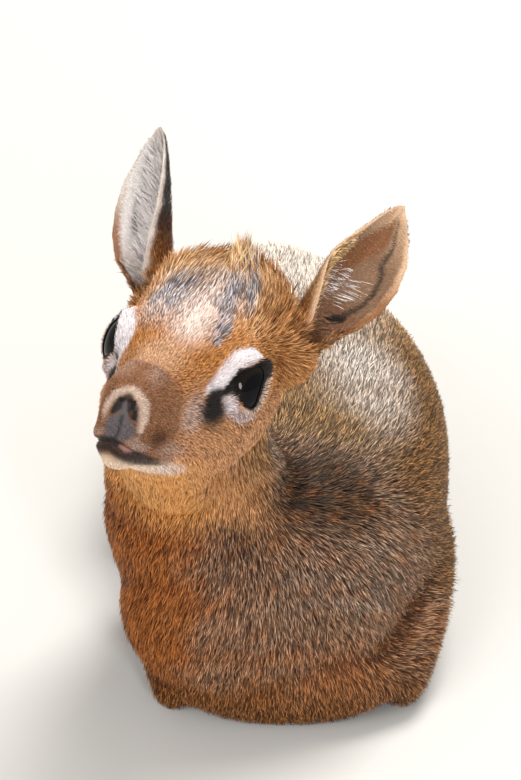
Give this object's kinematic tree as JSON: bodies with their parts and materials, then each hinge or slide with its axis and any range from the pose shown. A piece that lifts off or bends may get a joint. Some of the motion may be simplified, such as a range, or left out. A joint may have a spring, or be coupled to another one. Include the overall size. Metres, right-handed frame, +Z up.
{
  "type": "young dik dik lying down, life-size still model",
  "caption": "Life-size still model of a young hornless dik dik lying on its chest, legs folded under it, head raised and turned to look up.",
  "frame": {"origin": "middle of the underside of the bounding box, on the floor that the animal lies on", "axes": "+Z up; the chest and face look towards -Y and the rump lies towards +Y; +X is the animal's left"},
  "size_m": [0.1212, 0.2536, 0.1821],
  "materials": {
    "rust_coat": "short rust-orange fur",
    "grizzled_coat": "short fur ticked grey, brown and cream",
    "ear_coat": "thin skin with short pale hair",
    "eye": "wet gloss",
    "hoof": "dull horn"
  },
  "bodies": {
    "root": {"head": "rust_coat", "neck": "grizzled_coat", "torso": "grizzled_coat", "tail": "grizzled_coat", "ear_left": "ear_coat", "ear_right": "ear_coat", "eye_left": "eye", "eye_right": "eye", "foreleg_left": "rust_coat", "foreleg_right": "rust_coat", "hindleg_left": "rust_coat", "hindleg_right": "rust_coat", "hoof_foreleg_left_outer": "hoof", "hoof_foreleg_left_inner": "hoof", "hoof_foreleg_right_outer": "hoof", "hoof_foreleg_right_inner": "hoof", "hoof_hindleg_left_outer": "hoof", "hoof_hindleg_left_inner": "hoof", "hoof_hindleg_right_outer": "hoof", "hoof_hindleg_right_inner": "hoof"}
  },
  "joints": []
}
